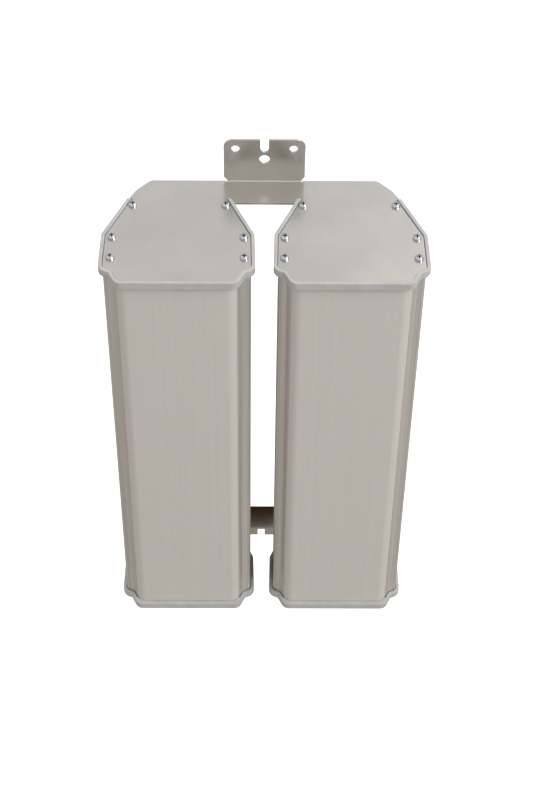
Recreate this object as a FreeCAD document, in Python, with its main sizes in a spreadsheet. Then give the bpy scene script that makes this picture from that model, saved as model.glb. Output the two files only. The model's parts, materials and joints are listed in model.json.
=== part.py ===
"""Twin-module LED road luminaire on two folded wall brackets.

Two upright aluminium housings stand side by side behind opal diffusers. A moulded seal closes each
end of a housing. One sheet-metal bracket spans both modules at the top and another at the bottom, and
a tab folded from the rear edge of each bracket is bolted to the wall.

Millimetres, +Z up, +X to the right as seen from the front, and the front faces -Y. The origin lies on
the rear faces of the two tabs, at the centre of their four corner holes.
"""
import FreeCAD
import Part
import math
import os
import re

import Sketcher
from FreeCAD import Rotation, Vector

# Every driving dimension: its name, its value and what it means. A "depth" runs back from the front
# of the end seals, and a "step" runs in from the widest part of an end seal.
SIZES = (
    ("case_height", 346.1, "one module over its end seals"),
    ("case_depth", 99.4, "front of the end seals to the wall"),
    ("seal_width", 100.0, "widest part of an end seal"),
    ("module_gap", 11.2, "free gap between the two modules' end seals"),

    ("corner_step", 11.6, "end seal: front corner"),
    ("corner_round", 6.0, "end seal: radius of the front corner"),
    ("flank_step", 6.7, "end seal: foot of the sloping flank"),
    ("flank_depth", 10.1, "end seal: foot of the sloping flank"),
    ("flank_round", 1.5, "end seal: radius at the foot of the flank"),
    ("nose_depth", 12.5, "end seal: corner of the side nose"),
    ("nose_round", 7.0, "end seal: radius of the side nose"),
    ("side_taper", 0.7, "end seal: step at the rear end of the side"),
    ("side_depth", 45.5, "end seal: rear end of the side"),
    ("side_round", 3.0, "end seal: radius at the rear end of the side"),
    ("rear_step", 17.0, "end seal: rear corner"),
    ("rear_depth", 82.3, "end seal: rear edge"),

    ("lip_width", 2.4, "end seal: lip around the bracket plate"),
    ("lip_rise", 1.0, "end seal: lip above the bracket plate"),
    ("gasket_thickness", 1.25, "end seal: layer under the bracket plate"),
    ("skirt_height", 2.0, "end seal: skirt around the housing"),
    ("skirt_wall", 2.35, "end seal: wall of the skirt"),
    ("plate_gap", 0.35, "between the lip and the bracket plate"),
    ("housing_gap", 0.4, "between the skirt and the housing"),
    ("diffuser_gap", 0.1, "between the skirt and the diffuser"),
    ("opening_front_depth", 11.0, "gasket opening: front edge"),
    ("opening_front_step", 16.0, "gasket opening: front corner"),
    ("opening_side_step", 11.5, "gasket opening: side"),
    ("opening_side_depth", 20.0, "gasket opening: front end of the side"),
    ("opening_chamfer_depth", 47.0, "gasket opening: rear end of the side"),
    ("opening_rear_step", 23.0, "gasket opening: rear corner"),
    ("opening_rear_depth", 71.0, "gasket opening: rear edge"),
    ("opening_round", 3.0, "gasket opening: radius of its corners"),

    ("plate_thickness", 1.5, "bracket sheet"),
    ("plate_setback", 0.9, "rear edge of the bracket plate to the wall"),
    ("shoulder_step", 16.8, "bracket plate: edge just behind the lip"),
    ("plate_side_step", 21.6, "bracket plate: corner between the lip's end and the rear corner"),
    ("plate_side_depth", 89.1, "bracket plate: corner between the lip's end and the rear corner"),
    ("plate_side_round", 4.0, "bracket plate: radius of that corner"),
    ("plate_corner_step", 30.7, "bracket plate: rear corner"),
    ("plate_corner_round", 5.0, "bracket plate: radius of the rear corner"),
    ("neck_step", 19.2, "bracket plate: neck between the lip's ends"),
    ("neck_length", 8.0, "bracket plate: neck between the lip's ends"),
    ("bridge_reach", 23.2, "bracket plate: front edge of the bridge to the wall"),
    ("tab_width", 53.5, "tab"),
    ("tab_height", 34.9, "tab above the bracket plate"),
    ("tab_round", 6.0, "tab: radius of the free corners"),
    ("bend_radius", 1.0, "inside radius of the bend"),
    ("relief_width", 0.2, "bend relief slit"),
    ("relief_length", 0.5, "bend relief slit, beyond the bend line"),
    ("foot_step", 2.0, "tab: end of the bend, in from the tab's side"),
    ("foot_rise", 2.6, "tab: height of its sloping feet"),
    ("tab_hole_spacing", 38.0, "tab: corner holes, centre to centre"),
    ("tab_hole_height", 27.4, "tab: corner holes and slot end above the plate"),
    ("tab_hole_diameter", 5.5, "tab: corner holes"),
    ("tab_slot_width", 5.5, "tab: open slot"),
    ("centre_hole_height", 18.6, "tab: centre hole above the plate"),
    ("centre_hole_diameter", 7.0, "tab: centre hole"),

    ("wall", 2.0, "housing wall"),
    ("housing_front_depth", 7.2, "housing: front edges"),
    ("web_depth", 28.0, "housing: front of the web"),
    ("web_thickness", 3.0, "housing: web"),
    ("bead_step", 14.4, "housing: inner face of the diffuser bead"),
    ("bead_depth", 13.0, "housing: rear face of the diffuser bead"),
    ("groove_gap", 0.15, "housing: groove around the diffuser's hook"),
    ("score_radius", 0.45, "housing: decorative grooves"),
    ("score_flank", 0.62, "housing: groove on the flank, as a part of its length"),
    ("score_nose", 0.36, "housing: groove before the nose, as a part of the ledge"),
    ("port_wall", 1.7, "housing: wall around a screw port"),
    ("front_port_step", 7.3, "front screw port"),
    ("front_port_depth", 24.2, "front screw port"),
    ("middle_port_step", 7.6, "middle screw port"),
    ("middle_port_depth", 43.1, "middle screw port"),
    ("rear_port_step", 19.7, "rear screw port"),
    ("rear_port_depth", 73.8, "rear screw port"),
    ("fin_thickness", 1.6, "housing: rear fins"),
    ("fin_edge_step", 27.5, "housing: middle of the outermost rear fin"),
    ("fin_inset", 0.8, "housing: fins inside the bracket plate's edge"),
    ("fin_root", 4.0, "housing: full-width foot of a fin"),

    ("diffuser_depth", 3.5, "diffuser: front face"),
    ("diffuser_wall", 2.0, "diffuser: wall of the face"),
    ("face_step", 15.2, "diffuser: edge of the flat face"),
    ("face_round", 7.0, "diffuser: radius at the edge of the flat face"),
    ("shoulder_fall", 3.4, "diffuser: height of the sloping shoulder"),
    ("shoulder_foot_step", 11.6, "diffuser: foot of the sloping shoulder"),
    ("leg_step", 14.6, "diffuser: outer face of the leg"),
    ("leg_wall", 1.5, "diffuser: leg"),
    ("hook_step", 12.0, "diffuser: tip of the hook"),
    ("hook_depth", 10.0, "diffuser: front of the hook"),
    ("hook_thickness", 1.3, "diffuser: hook"),

    ("screw_diameter", 3.0, "all machine screws, and their threads"),
    ("thread_gap", 0.05, "between a shank and its thread"),
    ("screw_clearance", 0.2, "around a shank in a plain hole"),
    ("head_diameter", 5.8, "pan head"),
    ("head_height", 2.3, "pan head"),
    ("head_round", 1.75, "pan head: radius of the dome"),
    ("head_rim", 0.25, "pan head: radius at its foot"),
    ("recess_span", 3.3, "cross recess, tip to tip"),
    ("recess_width", 0.8, "cross recess"),
    ("recess_depth", 1.5, "cross recess"),
    ("end_screw_length", 12.0, "end screws under the head"),
    ("board_screw_length", 4.4, "board screws under the head"),
    ("web_screw_length", 8.0, "countersunk screws over all"),
    ("sink_diameter", 5.5, "countersunk head"),
    ("sink_height", 1.3, "countersunk head"),
    ("sink_gap", 0.1, "around a countersunk head"),

    ("board_side_gap", 7.5, "LED board to the wall of the front screw port"),
    ("board_thickness", 1.6, "LED board"),
    ("board_end_gap", 9.0, "LED board to the end of the housing"),
    ("board_joint", 1.0, "between the two LED boards"),
    ("board_hole_step", 5.0, "LED board: edge to its screws, across"),
    ("board_hole_margin", 8.0, "LED board: end to its screws"),
    ("led_width", 3.0, "LED package"),
    ("led_height", 0.8, "LED package"),
    ("led_row_margin", 15.0, "LED board: edge to the middle of its LED row"),

    ("driver_thickness", 30.0, "driver"),
    ("driver_side_gap", 9.2, "driver to the wall of the middle screw port"),
    ("driver_end_gap", 39.3, "driver to the upper end of the housing"),
    ("driver_round", 3.0, "driver: radius of its long edges"),
    ("driver_gap", 0.2, "between the web and what is fixed behind it"),
    ("driver_hole_step", 8.0, "driver: edge to its screws, across"),
    ("driver_hole_margin", 12.0, "driver: end to its screws"),
    ("blind_hole", 6.5, "screw holes in the driver and the terminal block"),

    ("block_width", 30.0, "terminal block"),
    ("block_height", 20.0, "terminal block"),
    ("block_thickness", 16.0, "terminal block"),
    ("block_end_gap", 44.3, "terminal block to the lower end of the housing"),
    ("pole_pitch", 9.0, "terminal block: poles"),
    ("entry_diameter", 3.0, "terminal block: wire entries"),
    ("entry_length", 5.0, "terminal block: wire entries"),
    ("clamp_well", 4.0, "terminal block: wells over the clamp screws"),
    ("clamp_well_depth", 3.0, "terminal block: wells over the clamp screws"),
    ("supply_lead_diameter", 2.0, "leads from the terminal block to the driver"),
    ("supply_lead_run", 45.0, "terminal block to the driver"),

    ("led_lead_diameter", 1.4, "leads from the driver to the LED board"),
    ("led_lead_spacing", 4.4, "leads from the driver to the LED board"),
    ("led_lead_rise", 18.0, "driver to the leads' way through the web"),
    ("led_lead_bend", 6.0, "LED leads: bend behind the web"),
    ("led_lead_turn", 2.0, "LED leads: bend in front of the board"),
    ("led_lead_drop", 6.0, "LED leads: way through the web to the connector"),
    ("lead_hole_diameter", 9.0, "hole for the LED leads"),
    ("connector_width", 10.0, "board connector"),
    ("connector_height", 7.0, "board connector"),
    ("connector_thickness", 4.6, "board connector"),

    ("gland_depth", 55.5, "cable gland: its axis"),
    ("gland_thread", 16.0, "cable gland: thread"),
    ("gland_hole_gap", 0.15, "cable gland: around the thread in the bracket plate"),
    ("gland_hex", 22.0, "cable gland: body across flats"),
    ("gland_flange", 5.0, "cable gland: height of the body's hexagon"),
    ("neck_wall", 1.5, "cable gland: neck around the sealing bush"),
    ("neck_height", 9.0, "cable gland: neck"),
    ("bush_wall", 1.8, "cable gland: sealing bush"),
    ("bush_length", 8.0, "cable gland: sealing bush"),
    ("cable_diameter", 8.0, "cable that the gland takes"),
    ("bore_gap", 0.75, "cable gland: body around the cable"),
    ("mouth_gap", 1.2, "cable gland: cap nut around the cable"),
    ("cap_hex", 20.0, "cable gland: cap nut across flats"),
    ("cap_height", 13.0, "cable gland: cap nut"),
    ("cap_gap", 1.0, "cable gland: body to cap nut"),
    ("cap_round", 3.0, "cable gland: radius of the cap nut's end"),
    ("nut_height", 4.0, "cable gland: lock nut"),
    ("stub_end", 1.5, "cable gland: thread past the lock nut"),
    ("washer_diameter", 20.5, "cable gland: flat seal"),
    ("washer_thickness", 1.2, "cable gland: flat seal"),
    ("gland_gap", 0.05, "cable gland: between its pieces"),
)

NAMES = {name for name, value, meaning in SIZES}
FIN_NUMBERS = range(-3, 4)
LEDS_PER_ROW = 24
SIDES = {"left": "-1", "right": "1"}

# Levels of the upper end, from the outside in.
SEAL_TOP = "(case_height / 2)"
PLATE_TOP = "(case_height / 2 - lip_rise)"
PLATE_UNDER = "(case_height / 2 - lip_rise - plate_thickness)"
HOUSING_END = "(case_height / 2 - lip_rise - plate_thickness - gasket_thickness)"
SEAL_FOOT = "(case_height / 2 - lip_rise - plate_thickness - gasket_thickness - skirt_height)"

MODULE_X = "(seal_width + module_gap) / 2"
LIP_END = "(rear_depth - lip_width)"
HOUSING_INSET = "(skirt_wall + housing_gap)"
BOARD_FRONT = "(web_depth - board_thickness)"
WEB_BACK = "(web_depth + web_thickness + driver_gap)"
DRIVER_MIDDLE = "(web_depth + web_thickness + driver_gap + driver_thickness / 2)"
BUSH_RADIUS = "(cable_diameter / 2 + bush_wall)"
NECK_RADIUS = "(cable_diameter / 2 + bush_wall + neck_wall)"

# Half widths of what sits between the screw ports, and levels of what sits behind the web.
PORT_RADIUS = "(screw_diameter / 2 + port_wall)"
BOARD_HALF = f"(seal_width / 2 - front_port_step - {PORT_RADIUS} - board_side_gap)"
DRIVER_HALF = f"(seal_width / 2 - middle_port_step - {PORT_RADIUS} - driver_side_gap)"
DRIVER_TOP = f"({HOUSING_END} - driver_end_gap)"
BLOCK_FOOT = f"(block_end_gap - {HOUSING_END})"
BLOCK_MIDDLE = f"({BLOCK_FOOT} + block_height / 2)"
BLOCK_TOP = f"({BLOCK_FOOT} + block_height)"
DRIVER_FOOT = f"({BLOCK_TOP} + supply_lead_run)"
LEAD_HOLE_LEVEL = f"({DRIVER_TOP} + led_lead_rise)"
FIN_PITCH = f"((seal_width / 2 - fin_edge_step) / {FIN_NUMBERS[-1]})"

doc = FreeCAD.newDocument("luminaire")
sheet = doc.addObject("Spreadsheet::Sheet", "sizes")


# ---------------------------------------------------------------- sizes and bindings

def fill_sheet():
    """Write each driving dimension into the sheet, with its name and its meaning."""
    for row, (name, value, meaning) in enumerate(SIZES, start=1):
        sheet.set(f"A{row}", name)
        sheet.set(f"B{row}", str(value))
        sheet.set(f"C{row}", meaning)
        sheet.setAlias(f"B{row}", name)
    doc.recompute()


def bound(text):
    """Name the sheet in front of every size in an expression."""
    return re.sub(r"[a-z][a-z_]*", lambda word: "sizes." * (word.group() in NAMES) + word.group(), str(text))


def number(text):
    """The present value of an expression."""
    return float(sheet.evalExpression(bound(text)))


def bind(thing, bindings):
    """Tie an object's properties to the sheet."""
    for path, text in bindings.items():
        thing.setExpression(path, bound(text))
    return thing


def step(name):
    """A place across the module, from how far it lies in from the widest part."""
    return f"seal_width / 2 - ({name})"


def depth(name):
    """A place from front to back, from how far it lies behind the front."""
    return f"{name} - case_depth"


# ---------------------------------------------------------------- sketches

def pin_point(sketch, geometry, position, across, along):
    """Hold one point of a sketch at a place that the sheet gives."""
    for kind, text in (("DistanceX", across), ("DistanceY", along)):
        constraint = Sketcher.Constraint(kind, -1, 1, geometry, position, number(text))
        spot = sketch.addConstraint(constraint)
        sketch.setExpression(f"Constraints[{spot}]", bound(text))


def corner_arc(before, here, after, radius):
    """The arc that rounds a corner: its curve, its two ends, and whether it turns left."""
    into = (here - before).normalize()
    out = (after - here).normalize()
    turn = math.atan2(into.x * out.y - into.y * out.x, into.dot(out))
    cut = radius * math.tan(abs(turn) / 2)
    start = here - into * cut
    end = here + out * cut
    centre = start + Vector(-into.y, into.x, 0) * math.copysign(radius, turn)
    first, last = (start, end) if turn > 0 else (end, start)
    angles = [math.atan2(spot.y - centre.y, spot.x - centre.x) for spot in (first, last)]
    if angles[1] < angles[0]:
        angles[1] += 2 * math.pi
    curve = Part.ArcOfCircle(Part.Circle(centre, Vector(0, 0, 1), radius), angles[0], angles[1])
    return curve, start, end, turn > 0


def draw_loop(sketch, corners):
    """Draw a closed outline through corners of (across, along, radius)."""
    spots = [Vector(number(across), number(along), 0) for across, along, radius in corners]
    count = len(corners)
    starts = list(spots)
    ends = list(spots)
    arcs = {}
    for index, (across, along, radius) in enumerate(corners):
        if radius != "0":
            curve, start, end, left = corner_arc(spots[index - 1], spots[index],
                                                 spots[(index + 1) % count], number(radius))
            starts[index] = start
            ends[index] = end
            arcs[index] = (sketch.addGeometry(curve, False), left)
    lines = [sketch.addGeometry(Part.LineSegment(ends[index], starts[(index + 1) % count]), False)
             for index in range(count)]
    for index, (across, along, radius) in enumerate(corners):
        line_in = lines[index - 1]
        line_out = lines[index]
        if index not in arcs:
            sketch.addConstraint(Sketcher.Constraint("Coincident", line_in, 2, line_out, 1))
            pin_point(sketch, line_out, 1, across, along)
            continue
        arc, left = arcs[index]
        near, far = (1, 2) if left else (2, 1)
        sketch.addConstraint(Sketcher.Constraint("Tangent", line_in, 2, arc, near))
        sketch.addConstraint(Sketcher.Constraint("Tangent", arc, far, line_out, 1))
        spot = sketch.addConstraint(Sketcher.Constraint("Radius", arc, number(radius)))
        sketch.setExpression(f"Constraints[{spot}]", bound(radius))
        corner = sketch.addGeometry(Part.Point(spots[index]), True)
        sketch.addConstraint(Sketcher.Constraint("PointOnObject", corner, 1, line_in))
        sketch.addConstraint(Sketcher.Constraint("PointOnObject", corner, 1, line_out))
        pin_point(sketch, corner, 1, across, along)


def draw_circle(sketch, across, along, radius):
    """Draw a circle that the sheet places and sizes."""
    centre = Vector(number(across), number(along), 0)
    circle = sketch.addGeometry(Part.Circle(centre, Vector(0, 0, 1), number(radius)), False)
    pin_point(sketch, circle, 3, across, along)
    spot = sketch.addConstraint(Sketcher.Constraint("Radius", circle, number(radius)))
    sketch.setExpression(f"Constraints[{spot}]", bound(radius))


def draw(sketch, loops, circles):
    """Draw the outlines and circles of one sketch."""
    for corners in loops:
        draw_loop(sketch, corners)
    for across, along, radius in circles:
        draw_circle(sketch, across, along, radius)
    return sketch


def mirrored(right_half):
    """Complete a symmetric outline from its right half, listed from the front round to the rear."""
    left_half = [(f"-({across})", along, radius) for across, along, radius in reversed(right_half)]
    return list(right_half) + left_half


def rectangle(half_across, low, high, radius="0"):
    """An outline centred across the module."""
    return mirrored([(half_across, low, radius), (half_across, high, radius)])


def hexagon(across_flats):
    """A hexagon about the origin, with a flat on each side."""
    half = f"({across_flats}) / 2"
    side = [(half, f"-({half}) * tan(30)", "0"), (half, f"({half}) * tan(30)", "0")]
    front = ("0", f"-({half}) / cos(30)", "0")
    back = ("0", f"({half}) / cos(30)", "0")
    return [front] + side + [back] + mirrored(side)[len(side):]


def outline(name, *loops):
    """A sketch on the ground plane, for Part features."""
    return draw(doc.addObject("Sketcher::SketchObject", name), loops, ())


# ---------------------------------------------------------------- Part features

def offset(name, source, amount):
    """An outline moved outwards by an amount, or inwards where it is negative."""
    thing = doc.addObject("Part::Offset2D", name)
    thing.Source = source
    thing.Join = "Intersection"
    return bind(thing, {"Value": amount})


def prism(name, profile, low, high):
    """An outline extruded upwards from one level to another."""
    thing = doc.addObject("Part::Extrusion", name)
    thing.Base = profile
    thing.DirMode = "Custom"
    thing.Dir = Vector(0, 0, 1)
    thing.Solid = True
    return bind(thing, {"LengthFwd": f"{high} - ({low})", "Placement.Base.z": low})


def block(name, across, along, levels):
    """A box between pairs of places."""
    thing = doc.addObject("Part::Box", name)
    bindings = {}
    for (low, high), side, axis in zip((across, along, levels), ("Length", "Width", "Height"), "xyz"):
        bindings[side] = f"{high} - ({low})"
        bindings["Placement.Base." + axis] = low
    return bind(thing, bindings)


def post(name, radius, across, along, low, high):
    """An upright cylinder."""
    thing = doc.addObject("Part::Cylinder", name)
    return bind(thing, {"Radius": radius, "Height": f"{high} - ({low})", "Placement.Base.x": across,
                        "Placement.Base.y": along, "Placement.Base.z": low})


def pin(name, radius, across, level, front, back):
    """A cylinder that runs from front to back."""
    thing = doc.addObject("Part::Cylinder", name)
    thing.Placement.Rotation = Rotation(Vector(1, 0, 0), -90)
    return bind(thing, {"Radius": radius, "Height": f"{back} - ({front})", "Placement.Base.x": across,
                        "Placement.Base.y": front, "Placement.Base.z": level})


def fuse(name, pieces):
    """Several shapes made one."""
    thing = doc.addObject("Part::MultiFuse", name)
    thing.Shapes = pieces
    thing.Refine = True
    return thing


def cut(name, base, pieces):
    """A shape less the given pieces."""
    thing = doc.addObject("Part::Cut", name)
    thing.Base = base
    thing.Tool = pieces[0] if len(pieces) == 1 else fuse(name + "_tools", pieces)
    thing.Refine = True
    return thing


def common(name, first, second):
    """What two shapes share."""
    thing = doc.addObject("Part::Common", name)
    thing.Base = first
    thing.Tool = second
    thing.Refine = True
    return thing


def placed(name, pieces, across="0", along="0", level="0", flipped=False):
    """The pieces as one group at another place, upside down where it is flipped."""
    thing = doc.addObject("Part::Compound", name)
    thing.Links = pieces
    if flipped:
        thing.Placement.Rotation = Rotation(Vector(0, 1, 0), 180)
    return bind(thing, {"Placement.Base.x": across, "Placement.Base.y": along, "Placement.Base.z": level})


# ---------------------------------------------------------------- PartDesign bodies

def body_sketch(body, name, plane, lift, loops=(), circles=()):
    """A sketch on one of a body's own origin planes, lifted off it along its normal."""
    sketch = body.newObject("Sketcher::SketchObject", name)
    origin_plane = [part for part in body.Origin.OriginFeatures if part.Role == plane][0]
    sketch.AttachmentSupport = (origin_plane, [""])
    sketch.MapMode = "FlatFace"
    bind(sketch, {"AttachmentOffset.Base.z": lift})
    return draw(sketch, loops, circles)


def pad(body, name, plane, lift, length, loops=(), circles=()):
    """Add the extrusion of a sketch to a body."""
    feature = body.newObject("PartDesign::Pad", name)
    feature.Profile = body_sketch(body, name + "_sketch", plane, lift, loops, circles)
    return bind(feature, {"Length": length})


def pocket(body, name, plane, lift, length, loops=(), circles=(), reverse=False):
    """Cut the extrusion of a sketch from a body, against the sketch's normal unless reversed."""
    feature = body.newObject("PartDesign::Pocket", name)
    feature.Profile = body_sketch(body, name + "_sketch", plane, lift, loops, circles)
    feature.Reversed = reverse
    return bind(feature, {"Length": length})


def turned(name, corners):
    """A body turned about the upright axis from corners of (radius, level, rounding)."""
    body = doc.addObject("PartDesign::Body", name)
    feature = body.newObject("PartDesign::Revolution", name + "_turning")
    sketch = body_sketch(body, name + "_profile", "XZ_Plane", "0", [corners])
    feature.Profile = sketch
    feature.ReferenceAxis = (sketch, ["V_Axis"])
    feature.Angle = 360
    return body


# ---------------------------------------------------------------- outlines of one module

def seal_outline():
    """The outside of an end seal: flat front, sloping flanks, side noses and rear chamfers."""
    return outline("seal_outline", mirrored([
        (step("corner_step"), "-case_depth", "corner_round"),
        (step("flank_step"), depth("flank_depth"), "flank_round"),
        ("seal_width / 2", depth("nose_depth"), "nose_round"),
        (step("side_taper"), depth("side_depth"), "side_round"),
        (step("rear_step"), depth("rear_depth"), "0"),
    ]))


def plate_rear_outline():
    """The bracket plate behind the lip of an end seal."""
    return outline("plate_rear_outline", mirrored([
        (step("shoulder_step"), depth(f"{LIP_END} + plate_gap"), "0"),
        (step("plate_side_step"), depth("plate_side_depth"), "plate_side_round"),
        (step("plate_corner_step"), "-plate_setback", "plate_corner_round"),
    ]))


def diffuser_envelope():
    """The outside of the diffuser where the end seal's skirt meets it."""
    return outline("diffuser_envelope", mirrored([
        (step("face_step"), depth("diffuser_depth"), "face_round"),
        (step("shoulder_foot_step"), depth("diffuser_depth + shoulder_fall"), "0"),
        (step("shoulder_foot_step"), depth("bead_depth"), "0"),
    ]))


def gasket_opening():
    """The opening through the gasket layer of an end seal."""
    return outline("gasket_opening", mirrored([
        (step("opening_front_step"), depth("opening_front_depth"), "opening_round"),
        (step("opening_side_step"), depth("opening_side_depth"), "opening_round"),
        (step("opening_side_step"), depth("opening_chamfer_depth"), "opening_round"),
        (step("opening_rear_step"), depth("opening_rear_depth"), "opening_round"),
    ]))


def port_places():
    """The six screw ports of a module, as places across and from front to back."""
    for port in ("front", "middle", "rear"):
        for sign in ("-", ""):
            yield f"{sign}({step(port + '_port_step')})", depth(port + "_port_depth")


def port_posts(name, radius, low, high):
    """A cylinder at each of the six screw ports."""
    return [post(f"{name}_{index}", radius, across, along, low, high)
            for index, (across, along) in enumerate(port_places(), start=1)]


# ---------------------------------------------------------------- end seal

def end_seal(profile):
    """The upper end seal: lip, gasket layer and skirt in one moulding."""
    blank = prism("seal_blank", profile, SEAL_FOOT, SEAL_TOP)
    above = f"{SEAL_TOP} + 1"
    below = f"{SEAL_FOOT} - 1"
    recess = prism("plate_recess", offset("recess_outline", profile, "-lip_width"), PLATE_UNDER, above)
    behind_lip = block("behind_lip", ("-seal_width", "seal_width"), (depth(LIP_END), "0"),
                       (PLATE_UNDER, above))
    skirt_room = common(
        "skirt_room",
        prism("skirt_bore", offset("skirt_outline", profile, "-skirt_wall"), below, HOUSING_END),
        block("behind_front", ("-seal_width", "seal_width"),
              (depth("housing_front_depth - housing_gap"), "0"), (below, HOUSING_END)))
    diffuser_room = prism("diffuser_room",
                          offset("diffuser_room_outline", diffuser_envelope(), "diffuser_gap"),
                          below, HOUSING_END)
    fin_half = f"({FIN_NUMBERS[-1]} * {FIN_PITCH} + fin_thickness / 2 + housing_gap)"
    fin_room = block("fin_room", (f"-{fin_half}", fin_half),
                     (depth(f"rear_depth - {HOUSING_INSET}"), "0"), (below, HOUSING_END))
    opening = prism("gasket_hole", gasket_opening(), below, above)
    holes = port_posts("seal_hole", "screw_diameter / 2 + screw_clearance", below, above)
    rooms = [recess, behind_lip, skirt_room, diffuser_room, fin_room, opening]
    return cut("end_seal", blank, rooms + holes)


# ---------------------------------------------------------------- bracket

def lip_room(profile):
    """The space that the lip of an end seal takes in the bracket plate."""
    levels = (f"{PLATE_UNDER} - 1", f"{PLATE_TOP} + 1")
    outside = prism("lip_outside", offset("lip_outer", profile, "plate_gap"), *levels)
    inside = prism("lip_inside", offset("lip_inner", profile, "-(lip_width + plate_gap)"), *levels)
    behind = block("lip_behind", ("-seal_width", "seal_width"),
                   (depth(f"{LIP_END} + plate_gap"), "0"), levels)
    return cut("lip_room", outside, [inside, behind])


def tab_plate():
    """The upright tab, with its sloping feet beside the bend."""
    foot = f"({PLATE_UNDER} + plate_thickness + bend_radius)"
    top = f"({PLATE_TOP} + tab_height)"
    sketch = doc.addObject("Sketcher::SketchObject", "tab_outline")
    sketch.Placement.Rotation = Rotation(Vector(1, 0, 0), 90)
    draw(sketch, [mirrored([
        ("tab_width / 2 - foot_step", foot, "0"),
        ("tab_width / 2", f"{foot} + foot_rise", "0"),
        ("tab_width / 2", top, "tab_round"),
    ])], ())
    thing = doc.addObject("Part::Extrusion", "tab_plate")
    thing.Base = sketch
    thing.DirMode = "Custom"
    thing.Dir = Vector(0, -1, 0)
    thing.Solid = True
    return bind(thing, {"LengthFwd": "plate_thickness"})


def bend():
    """The quarter-round bend between the plate and the tab."""
    outer = "(bend_radius + plate_thickness)"
    middle = f"({PLATE_UNDER} + {outer})"
    half = "(tab_width / 2 - foot_step)"
    rounds = []
    for name, radius in (("bend_outside", outer), ("bend_inside", "bend_radius")):
        thing = doc.addObject("Part::Cylinder", name)
        thing.Placement.Rotation = Rotation(Vector(0, 1, 0), 90)
        rounds.append(bind(thing, {"Radius": radius, "Height": f"2 * {half}",
                                   "Placement.Base.x": f"-{half}", "Placement.Base.y": f"-{outer}",
                                   "Placement.Base.z": middle}))
    quarter = block("bend_quarter", (f"-{half}", half), (f"-{outer}", "0"), (PLATE_UNDER, middle))
    return common("bend", cut("bend_ring", rounds[0], [rounds[1]]), quarter)


def tab_holes():
    """The tab's corner holes, centre hole and open slot."""
    front = "-2 * plate_thickness"
    back = "plate_thickness"
    hole_level = f"{PLATE_TOP} + tab_hole_height"
    holes = [pin(f"tab_hole_{index}", "tab_hole_diameter / 2", f"{side} * tab_hole_spacing / 2",
                 hole_level, front, back) for index, side in enumerate(("-1", "1"), start=1)]
    holes.append(pin("centre_hole", "centre_hole_diameter / 2", "0",
                     f"{PLATE_TOP} + centre_hole_height", front, back))
    holes.append(pin("slot_end", "tab_slot_width / 2", "0", hole_level, front, back))
    holes.append(block("slot", ("-tab_slot_width / 2", "tab_slot_width / 2"), (front, back),
                       (hole_level, f"{PLATE_TOP} + tab_height + 1")))
    return holes


def bracket(profile):
    """The upper bracket: one plate over both modules, and its folded tab."""
    levels = (PLATE_UNDER, PLATE_TOP)
    module_plate = fuse("module_plate", [
        prism("plate_front", offset("plate_outline", profile, "-(lip_width + plate_gap)"), *levels),
        prism("plate_rear", plate_rear_outline(), *levels)])
    bridge = block("bridge", (f"-{MODULE_X}", MODULE_X), ("-bridge_reach", "-plate_setback"), levels)
    flats = [placed(f"{side}_module_plate", [module_plate], f"{sign} * {MODULE_X}")
             for side, sign in SIDES.items()]
    room = lip_room(profile)
    rooms = [placed(f"{side}_lip_room", [room], f"{sign} * {MODULE_X}") for side, sign in SIDES.items()]
    slotted = cut("slotted_plate", fuse("plate_blank", flats + [bridge]), rooms)

    neck = block("neck", (f"-({step('neck_step')})", step("neck_step")),
                 (depth(f"{LIP_END} - neck_length / 2"), depth(f"{LIP_END} + neck_length / 2")), levels)
    necks = [placed(f"{side}_neck", [neck], f"{sign} * {MODULE_X}") for side, sign in SIDES.items()]

    bend_line = "-(bend_radius + plate_thickness)"
    tall = (f"{PLATE_UNDER} - 1", f"{PLATE_TOP} + 1")
    inner = "(tab_width / 2 - foot_step)"
    outer = f"({inner} + relief_width)"
    bend_room = block("bend_room", (f"-{outer}", outer), (bend_line, "0"), tall)
    reliefs = [block(f"relief_{index}", span, (f"{bend_line} - relief_length", "0"), tall)
               for index, span in enumerate(((f"-{outer}", f"-{inner}"), (inner, outer)), start=1)]
    holes = port_posts("plate_hole", "screw_diameter / 2 + screw_clearance", *tall)
    hole_sets = [placed(f"{side}_plate_holes", holes, f"{sign} * {MODULE_X}")
                 for side, sign in SIDES.items()]
    flat = cut("flat_plate", fuse("necked_plate", [slotted] + necks), [bend_room] + reliefs + hole_sets)
    return cut("bracket", fuse("folded_plate", [flat, bend(), tab_plate()]), tab_holes())


def lower_bracket(upper):
    """The same bracket turned over, with a hole for each module's cable gland."""
    turned_over = placed("turned_bracket", [upper], flipped=True)
    radius = "gland_thread / 2 + gland_hole_gap"
    holes = [post(f"{side}_gland_hole", radius, f"{sign} * {MODULE_X}", depth("gland_depth"),
                  f"-{PLATE_TOP} - 1", f"-{PLATE_UNDER} + 1") for side, sign in SIDES.items()]
    return cut("lower_bracket", turned_over, holes)


# ---------------------------------------------------------------- housing

def score_places():
    """The two decorative grooves of a flank: one on the slope, one on the ledge before the nose."""
    slope = "atan2(flank_depth; corner_step - flank_step)"
    ledge = "atan2(nose_depth - flank_depth; flank_step)"
    yield (f"{step('corner_step')} + score_flank * (corner_step - flank_step)"
           f" - {HOUSING_INSET} * sin({slope})",
           f"score_flank * flank_depth - case_depth + {HOUSING_INSET} * cos({slope})")
    yield (f"{step('flank_step')} + score_nose * flank_step - {HOUSING_INSET} * sin({ledge})",
           f"{depth('flank_depth')} + score_nose * (nose_depth - flank_depth)"
           f" + {HOUSING_INSET} * cos({ledge})")


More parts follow.
